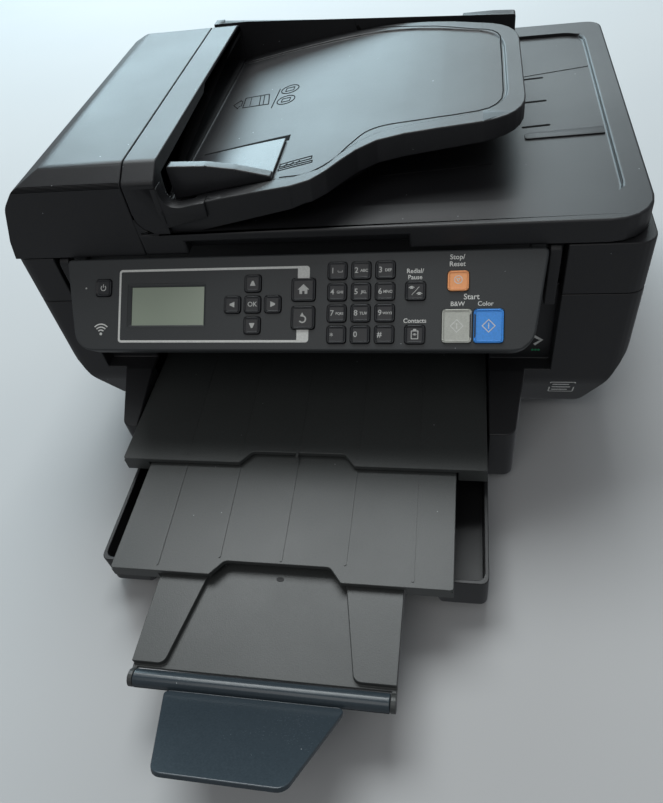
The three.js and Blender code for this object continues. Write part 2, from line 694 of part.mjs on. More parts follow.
function addTrays() {
  const outputRail = (outputWidth - extensionWidth) / 2 - slide;
  piece('output_tray', trayPlastic, slidingTray(outputWidth, trayLevel, outputFront,
    outputFront + 154, 82, outputRail, 12));
  const extensionRail = (extensionWidth - endWidth) / 2 - slide;
  piece('tray_extension', trayPlastic, slidingTray(extensionWidth, extensionLevel,
    extensionFront, extensionFront + 148, 84, extensionRail, 9, endShift));

  // The end piece has a hollow in its top that the folded stop lies in, and two lugs that
  // hold the stop's rod.
  const left = paperCentre + endShift - endWidth / 2;
  const right = paperCentre + endShift + endWidth / 2;
  const back = endFront + 102;
  const thick = 6;
  const plate = block(left, right, endFront, back, endLevel - thick, endLevel);
  const hollow = prism('z', outline([
    [left - 1, endFront - 1], [right + 1, endFront - 1], [right + 1, endFront + 2],
    [paperCentre + 56, endFront + 2, 5], [paperCentre + 42, endFront + 74, 8],
    [paperCentre - 41, endFront + 74, 8], [paperCentre - 56, endFront + 2, 5],
    [left - 1, endFront + 2],
  ]), endLevel - stopThickness - 0.6, endLevel + 1);
  const lugs = [[left, left + 3], [right - 3, right]].map(([x0, x1]) => join(
    rod('x', rodY, rodZ, rodRadius - 0.2, x0, x1),
    block(x0, x1, rodY, endFront + 4, endLevel - thick, endLevel - stopThickness - 0.6),
  ));
  const pins = [[left + 2, left + 7], [right - 7, right - 2]].map(([x0, x1]) =>
    rod('x', rodY, rodZ, 1.8, x0, x1, 12));
  piece('tray_end', trayPlastic, join(cut(plate, hollow), ...lugs, ...pins));

  // The stop is drawn lying back in the hollow, then swung up round its rod.
  const offset = endLevel - 0.2 - rodZ;
  const flap = prism('z', outline([
    [paperCentre - 53, 4.6, 3], [paperCentre + 53, 4.6, 3], [paperCentre + 34, stopLength, 7],
    [paperCentre - 34, stopLength, 7],
  ]), offset - stopThickness, offset);
  const web = block(paperCentre - 50, paperCentre + 50, 0, 6, offset - stopThickness, offset);
  const barrel = rod('x', 0, 0, rodRadius, left + 3 + gap, right - 3 - gap);
  const sockets = [[left + 1, left + 8], [right - 8, right - 1]].map(([x0, x1]) =>
    rod('x', 0, 0, 1.8 + pinPlay, x0, x1, 12));
  const stopGroup = new THREE.Group();
  stopGroup.position.set(0, rodY, rodZ);
  stopGroup.rotation.x = rad(180 - stopAngle);
  printer.add(stopGroup);
  piece('paper_stop', glossPlastic, cut(join(barrel, flap, web), ...sockets), stopGroup);
}

// ---- Paper cassette ---------------------------------------------------------------------------

function addCassette() {
  const left = paperCentre - outputWidth / 2 + 2.4;
  const right = paperCentre + outputWidth / 2 + 1;
  const front = -cassetteReach;
  const back = front + cassetteLength;
  const bottom = caseBottom + 1.8 + gap;
  const top = bottom + cassetteHeight;
  const grip = { left: left + 30, right: right - 30, depth: 36 };
  const plan = (inset) => outline([
    [left + inset, front + inset, 5], [grip.left - inset, front + inset, 4],
    [grip.left + 14 - inset, front + grip.depth + inset, 10],
    [grip.right - 14 + inset, front + grip.depth + inset, 10],
    [grip.right + inset, front + inset, 4], [right - inset, front + inset, 5],
    [right - inset, back - inset], [left + inset, back - inset],
  ]);
  const box = cut(prism('z', plan(0), bottom, top), prism('z', plan(wall), bottom + wall, top + 1));
  piece('paper_cassette', blackPlastic, box);

  // Two edge guides that close on the paper together.
  const guideFront = front + 120;
  [-1, 1].forEach((hand) => {
    const inner = paperCentre + (hand * paperWidth) / 2;
    const span = (a, b) => [Math.min(a, b), Math.max(a, b)];
    const upright = block(...span(inner, inner + hand * 3), guideFront, guideFront + 70,
      bottom + wall + gap, top - 3);
    const foot = block(...span(inner - hand * 22, inner + hand * 3), guideFront + 20,
      guideFront + 50, bottom + wall + gap, bottom + wall + gap + 1.6);
    const name = hand < 0 ? 'cassette_guide_left' : 'cassette_guide_right';
    piece(name, trayPlastic, join(upright, foot));
  });
}

// ---- Assembly --------------------------------------------------------------------------------------

addCase(panelPivot);
addDuplexer();
addEngine();
addScanner();
addLid();
addFeederCover();
addFeederFrame();
addFeederGuide();
addPanel();
addTrays();
addCassette();

const box = new THREE.Box3().setFromObject(printer);
printer.position.set(-(box.min.x + box.max.x) / 2, -(box.min.y + box.max.y) / 2, 0);
const group = new THREE.Group();
group.add(printer);
group.updateMatrixWorld(true);

export default group;
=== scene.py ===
"""An office inkjet printer with a document feeder, its trays drawn out, in a plain studio."""
import json
import math

import bpy
from mathutils import Matrix, Vector


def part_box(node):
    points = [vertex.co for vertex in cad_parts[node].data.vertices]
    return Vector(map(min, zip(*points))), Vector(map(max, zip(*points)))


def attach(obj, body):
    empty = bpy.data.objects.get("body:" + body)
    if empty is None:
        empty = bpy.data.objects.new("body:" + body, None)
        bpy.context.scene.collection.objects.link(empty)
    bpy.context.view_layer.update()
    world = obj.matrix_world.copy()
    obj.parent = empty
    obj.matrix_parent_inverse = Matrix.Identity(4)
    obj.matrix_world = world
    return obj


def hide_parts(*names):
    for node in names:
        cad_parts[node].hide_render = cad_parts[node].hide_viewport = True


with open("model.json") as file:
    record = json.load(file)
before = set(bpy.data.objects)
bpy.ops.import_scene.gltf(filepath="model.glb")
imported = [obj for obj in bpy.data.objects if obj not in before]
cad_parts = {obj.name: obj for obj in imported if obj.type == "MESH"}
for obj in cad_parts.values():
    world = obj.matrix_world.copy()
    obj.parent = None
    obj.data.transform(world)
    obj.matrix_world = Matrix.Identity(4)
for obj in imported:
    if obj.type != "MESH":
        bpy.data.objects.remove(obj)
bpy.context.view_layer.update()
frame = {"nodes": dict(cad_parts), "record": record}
MM = 0.001

# ---- Studio ----------------------------------------------------------------------------------
# A pale floor, a wide low window behind on the left and a narrow one beside it on the right, a
# soft box overhead and a weaker one in front. The light comes mostly from behind, so that the
# top surfaces shine and the front stays dark.

camera_data = bpy.data.cameras.new("camera")
camera_data.lens = 30.155
camera_data.sensor_width = 36
camera_data.shift_x = 0.0030
camera_data.shift_y = 0.0108
camera = bpy.data.objects.new("camera", camera_data)
right, up, forward = (
    Vector((0.98115, 0.14150, -0.13166)),
    Vector((-0.01874, 0.74762, 0.66386)),
    Vector((-0.19236, 0.64888, -0.73618)),
)
turned = Matrix((right, up, -forward)).transposed().to_4x4()
camera.matrix_world = Matrix.Translation((0.09936, -0.36478, 0.41632)) @ turned
bpy.context.collection.objects.link(camera)
bpy.context.scene.camera = camera


def soft_box(name, place, aim, width, height, brightness, colour):
    """A rectangular lamp of a given brightness, in watts per square metre and steradian."""
    lamp = bpy.data.lights.new(name, "AREA")
    lamp.shape = "RECTANGLE"
    lamp.size, lamp.size_y = width, height
    lamp.energy = brightness * math.pi * width * height
    lamp.color = colour
    holder = bpy.data.objects.new(name, lamp)
    holder.location = place
    holder.rotation_euler = (Vector(aim) - Vector(place)).to_track_quat("-Z", "Y").to_euler()
    bpy.context.collection.objects.link(holder)


soft_box("window", (-0.80, 1.98, 1.02), (0.0, 0.1, 0.2), 1.6, 0.95, 7.0, (0.67, 0.90, 1.0))
soft_box("window_right", (0.38, 2.06, 1.16), (0.1, 0.1, 0.2), 0.8, 0.8, 3.4, (0.80, 0.95, 1.0))
soft_box("overhead", (-0.35, 1.0, 1.95), (0.0, -0.1, 0.1), 1.5, 1.1, 6.9, (0.94, 0.99, 1.0))
soft_box("front_fill", (-0.2, -1.1, 1.7), (0.0, -0.1, 0.1), 1.2, 0.9, 1.3, (1.0, 0.98, 0.95))

world = bpy.data.worlds.new("studio")
world.use_nodes = True
world.node_tree.nodes["Background"].inputs["Color"].default_value = (0.9, 0.95, 1.0, 1)
world.node_tree.nodes["Background"].inputs["Strength"].default_value = 0.22
bpy.context.scene.world = world
bpy.context.scene.view_settings.view_transform = "Standard"


class Value:
    """One output of a node. Sums, products and powers of it add Math nodes."""

    def __init__(self, finish, socket):
        self.finish, self.socket = finish, socket

    def maths(self, operation, *values):
        return self.finish.node(
            "ShaderNodeMath", {"operation": operation}, dict(enumerate(values)))

    def __add__(self, other):
        return self.maths("ADD", self, other)

    def __sub__(self, other):
        return self.maths("SUBTRACT", self, other)

    def __rsub__(self, other):
        return self.maths("SUBTRACT", other, self)

    def __mul__(self, other):
        return self.maths("MULTIPLY", self, other)

    def __lt__(self, other):
        return self.maths("LESS_THAN", self, other)

    def __gt__(self, other):
        return self.maths("GREATER_THAN", self, other)

    __radd__, __rmul__ = __add__, __mul__


class Finish:
    """A material on a Principled shader, with the nodes that vary it."""

    def __init__(self, name, **constants):
        self.material = bpy.data.materials.new(name)
        self.material.use_nodes = True
        self.tree = self.material.node_tree
        self.shader = self.tree.nodes["Principled BSDF"]
        self.set(self.shader, {k.replace("_", " "): v for k, v in constants.items()})
        place = self.tree.nodes.new("ShaderNodeTexCoord")
        self.place = Value(self, place.outputs["Object"])

    def set(self, node, values):
        for key, value in values.items():
            socket = node.inputs[key]
            if isinstance(value, Value):
                self.tree.links.new(value.socket, socket)
            elif isinstance(value, tuple) and len(value) == 3 and socket.type == "RGBA":
                socket.default_value = (*value, 1)
            else:
                socket.default_value = value

    def node(self, kind, settings, values, output=0):
        """Any node: its settings first, then the values or links of its sockets."""
        node = self.tree.nodes.new(kind)
        for key, value in settings.items():
            if key == "stops":
                ramp = node.color_ramp.elements
                ramp[0].position, ramp[0].color = value[0][0], (*value[0][1], 1)
                ramp[1].position, ramp[1].color = value[-1][0], (*value[-1][1], 1)
                for position, colour in value[1:-1]:
                    ramp.new(position).color = (*colour, 1)
            else:
                setattr(node, key, value)
        self.set(node, values)
        return Value(self, node.outputs[output])

    def noise(self, scale, detail=2.0, roughness=0.5):
        return self.node("ShaderNodeTexNoise", {}, {
            "Vector": self.place, "Scale": scale, "Detail": detail, "Roughness": roughness})

    def blend(self, amount, first, second):
        return self.node("ShaderNodeMix", {"data_type": "RGBA"}, {
            0: amount, 6: first, 7: second}, output=2)

    def bump(self, height, strength, distance):
        return self.node("ShaderNodeBump", {}, {
            "Height": height, "Strength": strength, "Distance": distance})

    def finish(self, **values):
        self.set(self.shader, {k.replace("_", " "): v for k, v in values.items()})
        return self.material


floor_finish = Finish("pale_floor", Roughness=0.9)
cloudy = floor_finish.noise(3.0)
bpy.ops.mesh.primitive_plane_add(size=30, location=(0, 0, 0))
floor = bpy.context.object
floor.name = "floor"
floor.data.materials.append(floor_finish.finish(
    Base_Color=floor_finish.blend(cloudy, (0.48, 0.49, 0.5), (0.53, 0.53, 0.53))))
floor.visible_glossy = False

# ---- Lower case ------------------------------------------------------------------------------
# Two half shells of black spark-eroded plastic, screwed from below to a floor pan, with a deck
# over the paper exit. Every moulded edge is eased, and a little dust lies in the grain.


def grained_plastic(name, colour, roughness, grain=1500, depth=0.00006, dust=0.04,
                    tint=(0.35, 0.37, 0.38), specular=0.5):
    """Moulded plastic with an eroded grain, faint handling marks and specks of dust."""
    finish = Finish(name)
    finish.shader.inputs["Specular IOR Level"].default_value = specular
    erosion = finish.node("ShaderNodeTexVoronoi", {"feature": "F1"}, {
        "Vector": finish.place, "Scale": grain})
    pits = finish.noise(grain * 0.6, 2.0, 0.6)
    handled = finish.noise(9.0, 4.0, 0.6)
    speck = finish.node("ShaderNodeTexVoronoi", {"feature": "F1"}, {
        "Vector": finish.place, "Scale": 210.0})
    cell = finish.node("ShaderNodeTexVoronoi", {"feature": "F1"}, {
        "Vector": finish.place, "Scale": 210.0}, output=1)
    chance = finish.node("ShaderNodeSeparateColor", {}, {"Color": cell})
    dusty = (speck < 0.075) * (chance < dust)
    lighter = tuple(c * 1.55 + 0.006 for c in colour)
    body = finish.blend(pits * 0.6 + handled * 0.3, tuple(c * 0.75 for c in colour), lighter)
    surface = finish.blend(dusty, body, tint)
    return finish.finish(
        Base_Color=surface,
        Roughness=handled * 0.16 + pits * 0.1 + (roughness - 0.13),
        Normal=finish.bump(erosion * 0.6 + pits * 0.4, 0.75, depth))


weld = 0.00001
coplanar = math.radians(0.6)
sharp_edge = math.radians(34)  # edges that are eased
smooth_below = math.radians(50)  # faces that meet less steeply are shaded as one
key_rim, key_slope = 0.0011, 0.0003  # round the dished middle of a key


def select_only(piece):
    """Selects one object and makes it the active one."""
    bpy.ops.object.select_all(action="DESELECT")
    piece.select_set(True)
    bpy.context.view_layer.objects.active = piece


def apply_modifiers(piece):
    """Applies every modifier of a piece, in order."""
    select_only(piece)
    for modifier in list(piece.modifiers):
        bpy.ops.object.modifier_apply(modifier=modifier.name)


def moulding(node, body, material, edge=0.0005, steps=2, only=None, dish=0.0,
             cutter=None):
    """A moulded part with eased edges, in the place of its CAD solid. only picks the points
    whose edges are eased, dish sinks the middle of a key's top and cutter is taken away."""
    solid = frame["nodes"][node]
    piece = bpy.data.objects.new(f"{node}_moulding", solid.data.copy())
    bpy.context.collection.objects.link(piece)
    piece.data.materials.clear()
    piece.data.materials.append(material)
    select_only(piece)
    if piece.data.has_custom_normals:
        bpy.ops.mesh.customdata_custom_splitnormals_clear()
    bpy.ops.object.mode_set(mode="EDIT")
    bpy.ops.mesh.select_all(action="SELECT")
    bpy.ops.mesh.remove_doubles(threshold=weld)
    bpy.ops.mesh.dissolve_limited(angle_limit=coplanar)
    bpy.ops.mesh.select_all(action="DESELECT")
    bpy.ops.object.mode_set(mode="OBJECT")
    if dish:
        for face in piece.data.polygons:
            face.select = face.normal.dot(panel_outwards) > 0.99
        bpy.ops.object.mode_set(mode="EDIT")
        bpy.ops.mesh.inset(thickness=key_rim, depth=0)
        bpy.ops.mesh.inset(thickness=key_slope, depth=-dish)
        bpy.ops.mesh.select_all(action="DESELECT")
        bpy.ops.object.mode_set(mode="OBJECT")
    if edge:
        bpy.ops.object.mode_set(mode="EDIT")
        bpy.ops.mesh.edges_select_sharp(sharpness=sharp_edge)
        bpy.ops.object.mode_set(mode="OBJECT")
        points = piece.data.vertices
        weights = piece.data.attributes.new("bevel_weight_edge", "FLOAT", "EDGE")
        for line in piece.data.edges:
            picked = only is None or all(only(points[i].co) for i in line.vertices)
            weights.data[line.index].value = 1.0 if line.select and picked else 0.0
        eased = piece.modifiers.new("eased", "BEVEL")
        eased.width, eased.segments, eased.limit_method = edge, steps, "WEIGHT"
        eased.use_clamp_overlap = False
    select_only(piece)
    bpy.ops.object.shade_smooth_by_angle(angle=smooth_below)
    flat = piece.modifiers.new("flat_faces", "WEIGHTED_NORMAL")
    flat.keep_sharp = True
    apply_modifiers(piece)
    if cutter:
        taken = piece.modifiers.new("taken", "BOOLEAN")
        taken.operation, taken.solver, taken.object = "DIFFERENCE", "EXACT", cutter
        apply_modifiers(piece)
        bpy.data.objects.remove(cutter)
    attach(piece, body)
    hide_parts(node)
    return piece


case_plastic = grained_plastic("black_case_plastic", (0.012, 0.012, 0.0135), 0.44)
dark_plastic = grained_plastic("dark_inner_plastic", (0.008, 0.008, 0.0085), 0.6, dust=0.0)
foot_rubber = grained_plastic("foot_rubber", (0.012, 0.012, 0.012), 0.85, grain=900, dust=0.0)
moulding("left_case", "printer", case_plastic, edge=0.0008)
right_half = moulding("right_case", "printer", case_plastic, edge=0.0008)
moulding("rear_case", "printer", case_plastic)
moulding("base_pan", "printer", dark_plastic)
moulding("front_fascia", "printer", dark_plastic)
for foot in ("foot_front_left", "foot_front_right", "foot_back_left", "foot_back_right"):
    moulding(foot, "printer", foot_rubber)

# ---- Print engine ----------------------------------------------------------------------------
# The carriage runs on a drawn steel rod and holds the ink tanks; a rubber roller feeds paper.

drawn = Finish("drawn_steel", Base_Color=(0.56, 0.57, 0.58), Metallic=1.0)
lines = drawn.node("ShaderNodeTexWave", {"bands_direction": "Y"}, {
    "Vector": drawn.place, "Scale": 700.0, "Distortion": 2.0})
moulding("carriage_rail", "printer", drawn.finish(Roughness=lines * 0.12 + 0.22), 0)
moulding("print_carriage", "carriage", dark_plastic)
for ink, colour in (("black", (0.02, 0.02, 0.02)), ("cyan", (0.02, 0.25, 0.4)),
                    ("magenta", (0.4, 0.02, 0.16)), ("yellow", (0.6, 0.45, 0.02))):
    moulding(f"ink_cartridge_{ink}", "carriage",
             grained_plastic(f"ink_tank_{ink}", colour, 0.4, dust=0.0))
roller_rubber = grained_plastic("roller_rubber", (0.02, 0.02, 0.02), 0.8, grain=700, dust=0.0)
moulding("feed_roller", "paper_roller", roller_rubber)
moulding("rear_duplexer", "duplexer", case_plastic)

# ---- Scanner ---------------------------------------------------------------------------------
# A flatbed under the lid: float glass over a sliding scan bar, and a white foam mat on the lid.

moulding("scanner_base", "scanner", case_plastic, edge=0.0008)
pane = Finish("scanner_glass", Base_Color=(0.82, 0.9, 0.87), IOR=1.5, Transmission_Weight=0.9)
smears = pane.noise(14.0, 3.0)
moulding("scanner_glass", "scanner", pane.finish(Roughness=smears * 0.06 + 0.02))
moulding("scan_bar", "scan_carriage", dark_plastic)
felt = Finish("white_foam")
fibres = felt.noise(1800.0, 3.0)
moulding("document_mat", "lid", felt.finish(
    Base_Color=felt.blend(fibres, (0.78, 0.78, 0.75), (0.86, 0.86, 0.84)),
    Roughness=fibres * 0.1 + 0.82, Normal=felt.bump(fibres, 0.5, 0.0002)))

# ---- Case marks ------------------------------------------------------------------------------
# Pale plates, printed thin, on the right of the case: an arrow and a row of green dots in the
# recess behind the panel's end, and a framed label low on the curved front.


def loft_outline(corners, steps=6):
    """The points of a flat outline through corners (x, y, radius)."""
    points = []
    for i, (x, y, radius) in enumerate(corners):
        corner = Vector((x, y))
        if radius == 0:
            points.append(corner)
            continue
        before = (Vector(corners[i - 1][:2]) - corner).normalized()
        after = (Vector(corners[(i + 1) % len(corners)][:2]) - corner).normalized()
        half = before.angle(after) / 2
        reach = radius / math.tan(half)
        middle = corner + (before + after).normalized() * radius / math.sin(half)
        first = corner + before * reach - middle
        turn = first.angle_signed(corner + after * reach - middle)
        for k in range(steps + 1):
            arm = first.copy()
            arm.rotate(Matrix.Rotation(-turn * k / steps, 2))
            points.append(middle + arm)
    return points


def bar_outline(first, last, width):
    """A straight bar with round ends between two points."""
    first, last = Vector(first), Vector(last)
    along = (last - first).normalized()
    points = []
    for end, start in ((last, -90), (first, 90)):
        for k in range(7):
            turn = math.radians(start + 30 * k)
            side = Vector((-along.y, along.x))
            points.append(end + (along * math.cos(turn) + side * math.sin(turn)) * width / 2)
    return points


def strip_outline(points, width):
    """A band of even width along a bent line."""
    line = [Vector(p) for p in points]
    left, right = [], []
    for i, point in enumerate(line):
        along = (line[min(i + 1, len(line) - 1)] - line[max(i - 1, 0)]).normalized()
        side = Vector((-along.y, along.x)) * width / 2
        left.append(point + side)
        right.append(point - side)
    return left + right[::-1]


def circle_outline(x, y, radius, start=0, sweep=360, count=24):
    """The points of a circle, or of a part of one."""
    closed = sweep == 360
    turns = [math.radians(start + sweep * k / count) for k in range(count + (not closed))]
    return [Vector((x + radius * math.cos(t), y + radius * math.sin(t))) for t in turns]


def arc_outline(x, y, radius, width, start, sweep, count=16):
    """A band along part of a circle."""
    outer = circle_outline(x, y, radius + width / 2, start, sweep, count)
    inner = circle_outline(x, y, radius - width / 2, start, sweep, count)
    return outer + inner[::-1]


def frame_outlines(corners, width):
    """The outer and inner outlines of a line drawn round a convex shape, in millimetres."""
    middle = sum((Vector(c[:2]) for c in corners), Vector((0, 0))) / len(corners)
    inner = []
    for i, (x, y, radius) in enumerate(corners):
        corner = Vector((x, y))
        before = (Vector(corners[i - 1][:2]) - corner).normalized()
        after = (Vector(corners[(i + 1) % len(corners)][:2]) - corner).normalized()
        half = before.angle(after) / 2
        moved = corner + (before + after).normalized() * width / math.sin(half)
        inner.append((moved.x, moved.y, max(0, radius - width)))
    return [loft_outline(corners), loft_outline(inner)]


def flat_piece(name, outlines, thickness, place=Matrix.Identity(4)):
    """A thin plate from outlines in millimetres, an outline inside another being a hole. It
    stands on the place's XY plane."""
    curve = bpy.data.curves.new(name, "CURVE")
    curve.dimensions, curve.fill_mode = "2D", "BOTH"
    curve.extrude = thickness / 2
    for outline in outlines:
        line = curve.splines.new("POLY")
        line.points.add(len(outline) - 1)
        for point, corner in zip(line.points, outline):
            point.co = (corner[0] * MM, corner[1] * MM, 0, 1)
        line.use_cyclic_u = True
    piece = bpy.data.objects.new(name, curve)
    bpy.context.collection.objects.link(piece)
    return made_solid(piece, thickness, place)


def made_solid(piece, thickness, place):
    """Makes a flat curve or words a closed mesh, and puts it in its place."""
    select_only(piece)
    bpy.ops.object.convert(target="MESH")
    piece = bpy.context.object
    bpy.ops.object.mode_set(mode="EDIT")
    bpy.ops.mesh.select_all(action="SELECT")
    bpy.ops.mesh.remove_doubles(threshold=0.000002)
    bpy.ops.mesh.normals_make_consistent(inside=False)
    bpy.ops.object.mode_set(mode="OBJECT")
    piece.data.transform(place @ Matrix.Translation((0, 0, thickness / 2)))
    return piece


def lay_on(piece, ground, sink, towards=Vector((0, 0, -1))):
    """Drapes a flat piece on the surface that lies towards one side, sunk a little into it."""
    deepest = max(v.co.dot(towards) for v in piece.data.vertices)
    for point in piece.data.vertices:
        above = deepest - point.co.dot(towards)
        hit, spot, _, _ = ground.ray_cast(point.co - towards * 0.05, towards)
        if hit:
            point.co = spot - towards * (above - sink)


def cut_finely(piece, step):
    """Cuts a long flat piece across, so that it can bend."""
    select_only(piece)
    xs = [v.co.x for v in piece.data.vertices]
    bpy.ops.object.mode_set(mode="EDIT")
    for k in range(1, int((max(xs) - min(xs)) / step) + 1):
        bpy.ops.mesh.select_all(action="SELECT")
        bpy.ops.mesh.bisect(plane_co=(min(xs) + k * step, 0, 0), plane_no=(1, 0, 0))
    bpy.ops.mesh.select_all(action="DESELECT")
    bpy.ops.object.mode_set(mode="OBJECT")


def fitted(piece, body, material):
    """Gives a piece its material and its body."""
    piece.data.materials.clear()
    piece.data.materials.append(material)
    select_only(piece)
    bpy.ops.object.shade_smooth_by_angle(angle=math.radians(40))
    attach(piece, body)
    return piece


white_mark = grained_plastic("white_mark", (0.62, 0.62, 0.6), 0.5, depth=0.00001, dust=0.0)
green_mark = grained_plastic("green_mark", (0.02, 0.3, 0.12), 0.5, depth=0.00001, dust=0.0)
upright = Matrix.Translation((0, -0.1, 0)) @ Matrix.Rotation(math.radians(90), 4, "X")
for name, outlines, material in (
        ("case_arrow", [strip_outline([(148.1, 83.6), (154.4, 79.3), (149.6, 75.0)], 2.2)],
         white_mark),
        ("case_mark", [circle_outline(x, 69.9, 0.9) for x in (148.9, 151.0, 153.1)], green_mark),
        ("case_label", [*frame_outlines([(162.8, 31.8, 1), (180.8, 31.8, 1),
                                         (180.8, 48.3, 1), (162.8, 48.3, 1)], 0.9),
                        *(bar_outline((165.5, z), (178.2 - z % 3, z), 1.5)
                          for z in (35.6, 40.0, 44.4))], white_mark)):
    mark = flat_piece(name, outlines, 0.00008, upright)
    cut_finely(mark, 0.002)
    lay_on(mark, right_half, 0.00002, Vector((0, 1, 0)))
    fitted(mark, "printer", material)

# ---- Lid -------------------------------------------------------------------------------------
# The document cover, with a shallow well in its top where originals come out. A ridge and two
# lines are moulded in the well's floor, and its three short slots are painted shade: flat
# near-black plates laid on the floor.

moulding("document_cover", "lid", case_plastic, edge=0.0016, steps=4,
         only=lambda p: p.y < 0 or p.x > 0.19 or p.y > 0.28)
well_floor = 0.1811
on_floor = Matrix.Translation((0, 0, well_floor - 0.0002))  # sunk a little into the floor
# Near-black plastic with little gloss, which paints shade: flat plates in the three slots of the
# lid's well, a line along the bed's groove and a band in the guide's slot. The bed's raised
# signs are drawn in it too.
painted_shade_plastic = grained_plastic("painted_shade_plastic", (0.004, 0.004, 0.004), 0.9, dust=0.0,
                               specular=0.1)
ridge = flat_piece("well_ridge", [loft_outline([
    (139, 93.8, 2), (191.4, 96.5, 0), (191.4, 106, 0), (139, 101.5, 2)])], 0.0013,
    Matrix.Translation((0, 0, well_floor - 0.0003)))
soft = ridge.modifiers.new("soft", "BEVEL")
soft.width, soft.segments = 0.0012, 4
apply_modifiers(ridge)
fitted(ridge, "lid", case_plastic)
for name, ends, width in (
        ("well_line_back", ((139, 194.5), (191.6, 206.5)), 0.7),
        ("well_line_front", ((42, 55.5), (116, 64)), 0.7)):
    fitted(flat_piece(name, [bar_outline(*ends, width)], 0.00055,
                      on_floor),
           "lid", case_plastic)
# Painted shade: the three slots are flat near-black plates on the well's floor.
for row, y in enumerate((189.5, 150.0, 112.0)):
    fitted(flat_piece(f"well_slot_shade_{row + 1}", [bar_outline((139, y), (156, y + 1.8), 2.6)],
                      0.0003, on_floor),
           "lid", painted_shade_plastic)

# ---- Document feeder -------------------------------------------------------------------------
# A hinged cover over the pick roller, and a frame that carries the sloping paper bed. How to
# lay the originals is shown on the bed by raised signs: an arrow, a sheet and two rounds. A thin
# near-black line along the bed's groove and a near-black band in the guide's slot are painted
# shade.

moulding("feeder_cover", "feeder_lid", case_plastic, edge=0.0006)
# The wall behind the bed falls away to the right and ends in a low block.
wall_front, wall_cut = 230.8, 20.0
wall_edge = flat_piece("wall_cutter", [[
    (-103, 227.2), (18, 218.3), (90.5, 212.3), (93.5, 212.3), (95.5, 216), (150, 216),
    (150, 240), (-103, 240)]], wall_cut * MM,
    Matrix.Translation((0, (wall_front + wall_cut) * MM, 0))
    @ Matrix.Rotation(math.radians(90), 4, "X"))
bed = moulding("feeder_frame", "lid", case_plastic, edge=0.0009, steps=3,
               only=lambda p: p.y < 0.228 and p.z > 0.186, cutter=wall_edge)
# The far strip runs into the bed's front rim in one sweep.
sweep = flat_piece("strip_sweep", [[
    (-87.9, 216), (-87.4, 213), (-87.0, 211), (-86.4, 208.6), (-85.6, 206.6), (-84.4, 204.9),
    (-82.6, 203.5), (-80.4, 202.7), (-77.8, 202.3), (-75, 202.4), (-71.5, 202.9),
    (-67.9, 203.5), (-60, 204.6), (-60, 194.4), (-71.3, 191.8), (-86.0, 188.6), (-90, 188.2),
    (-92, 200), (-92, 216)]], 0.0088,
    Matrix.Translation((0, -0.001, 0)) @ Matrix.Rotation(math.radians(90), 4, "X"))
soft = sweep.modifiers.new("soft", "BEVEL")
soft.width, soft.segments, soft.angle_limit = 0.0008, 3, math.radians(50)
apply_modifiers(sweep)
for point in sweep.data.vertices:
    point.co.y += 0.0009 * min(1, max(0, (point.co.x + 0.082) / 0.014))
fitted(sweep, "lid", case_plastic)

guide_plastic = grained_plastic("polished_guide", (0.016, 0.016, 0.018), 0.3, dust=0.0)
moulding("feeder_guide", "document_guide", guide_plastic, edge=0.0008, steps=3)
moulding("feeder_roller", "pick_roller", roller_rubber)


def laid_sign_and_shade(name, outlines, thickness=0.0003, step=0.004):
    """A thin near-black mark draped on the bed: the raised signs, and the painted shade along
    the groove and in the guide's slot.
    """
    piece = flat_piece(name, outlines, thickness, Matrix.Translation((0, 0, 0.25)))
    cut_finely(piece, step)
    lay_on(piece, bed, 0.0001)
    return fitted(piece, "lid", painted_shade_plastic)


laid_sign_and_shade("bed_signs", [
    *frame_outlines([(-67.5, 127.5, 0), (-44.7, 122.5, 0), (-47.9, 141.6, 0),
                     (-68.8, 145.3, 0)], 0.7),
    bar_outline((-53.2, 125.6), (-55.4, 141.4), 0.6),
    bar_outline((-50.0, 125.0), (-52.0, 140.8), 0.6),
    bar_outline((-61.5, 128.0), (-63.0, 142.4), 0.4),
    *frame_outlines([(-77.2, 136.6, 0), (-71.4, 127.8, 0), (-71.3, 132.4, 0), (-68.9, 131.9, 0),
                     (-69.8, 140.6, 0), (-72, 141.0, 0), (-71.6, 143.4, 0)], 0.6),
    bar_outline((-41.2, 115), (-40.4, 146), 0.6),
    *(loop for y in (141.5, 123.5) for loop in (
        circle_outline(-31.5, y, 7.2), circle_outline(-31.5, y, 6.5),
        *frame_outlines([(-35, y - 3, 0), (-28, y - 3, 0), (-28, y + 3, 0), (-35, y + 3, 0)],
                        0.6)))])
laid_sign_and_shade("size_signs", [
    *frame_outlines([(-16.5, 16.5, 0), (5.5, 20.5, 0), (5.5, 23.5, 0), (-16.5, 19.5, 0)], 0.6),
    *frame_outlines([(-16.5, 21.0, 0), (4.5, 25.5, 0), (4.5, 29.5, 0), (-16.5, 25.0, 0)], 0.6),
    *(bar_outline((x, 20.6 + (x + 16.5) * 0.2), (x + 1.6, 23.4 + (x + 16.5) * 0.2), 0.5)
      for x in (-13.0, -9.0, -5.0))])
